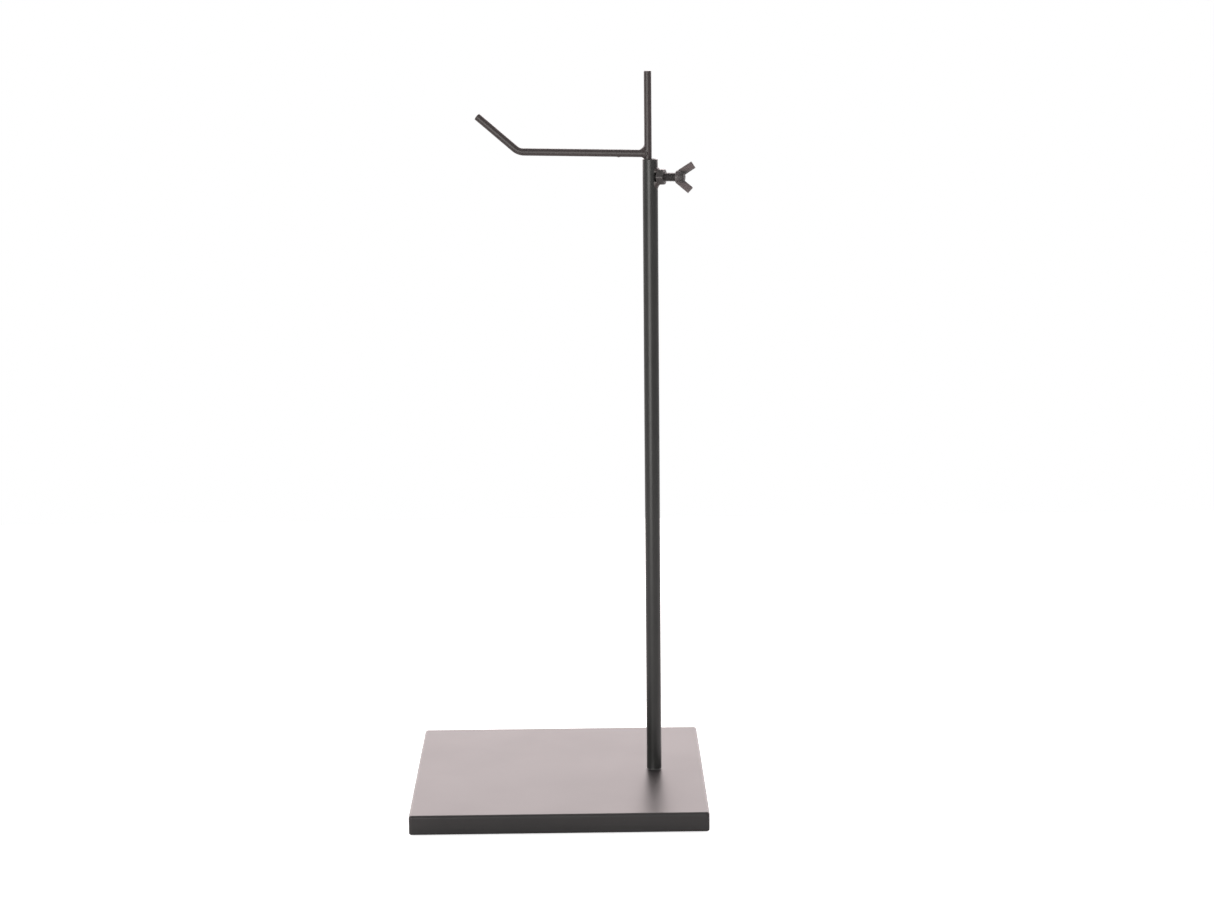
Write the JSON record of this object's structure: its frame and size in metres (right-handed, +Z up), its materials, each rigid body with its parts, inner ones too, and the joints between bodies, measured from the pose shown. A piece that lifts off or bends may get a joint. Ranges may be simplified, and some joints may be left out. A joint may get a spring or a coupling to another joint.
{
  "type": "height-adjustable hook stand",
  "caption": "Square base with an off-centre upright tube, a telescoping rod held by a wing screw, and a side arm whose tip bends up into a hook.",
  "frame": {"origin": "on the surface it stands on, under the centre of the square base plate", "axes": "+Z up along the upright, +X from the plate's centre towards the side that carries the upright, +Y towards the back"},
  "size_m": [0.2, 0.2, 0.4976],
  "materials": {
    "base_paint": "satin",
    "tube_paint": "satin",
    "rod_paint": "satin",
    "weld_paint": "satin",
    "fastener_black": "satin",
    "hidden_steel": "satin",
    "pad_rubber": "matte"
  },
  "bodies": {
    "stand": {"base_plate": "base_paint", "upright_tube": "tube_paint", "tube_plug": "hidden_steel", "base_screw": "hidden_steel", "clamp_nut": "fastener_black", "nut_weld_upper": "weld_paint", "nut_weld_lower": "weld_paint", "foot_pad_front_left": "pad_rubber", "foot_pad_front_right": "pad_rubber", "foot_pad_rear_left": "pad_rubber", "foot_pad_rear_right": "pad_rubber"},
    "rod": {"slide_rod": "rod_paint"},
    "hook": {"hook_arm": "rod_paint", "arm_weld_upper": "weld_paint", "arm_weld_lower": "weld_paint"},
    "screw": {"screw_shank": "fastener_black"},
    "wings": {"wing_head": "fastener_black"}
  },
  "joints": [
    {"name": "rod_slide", "type": "slide", "parent": "stand", "child": "rod", "axis": [0, 0, 1], "range_m": [0, 0.28]},
    {"name": "hook_swivel", "type": "hinge", "parent": "rod", "child": "hook", "pos_m": [0.06462, 0.00045, 0.4426], "axis": [0, 0, 1], "continuous": true},
    {"name": "screw_travel", "type": "slide", "parent": "stand", "child": "screw", "axis": [0.9511, -0.309, 0], "range_m": [0, 0.005]},
    {"name": "wing_turn", "type": "hinge", "parent": "screw", "child": "wings", "pos_m": [0.08331, -0.00562, 0.4271], "axis": [0.9511, -0.309, 0], "range_deg": [0, 1800]}
  ],
  "couplings": [
    {"joint": "screw_travel", "follows": "wing_turn", "m_per_rad": 0.00015915}
  ]
}
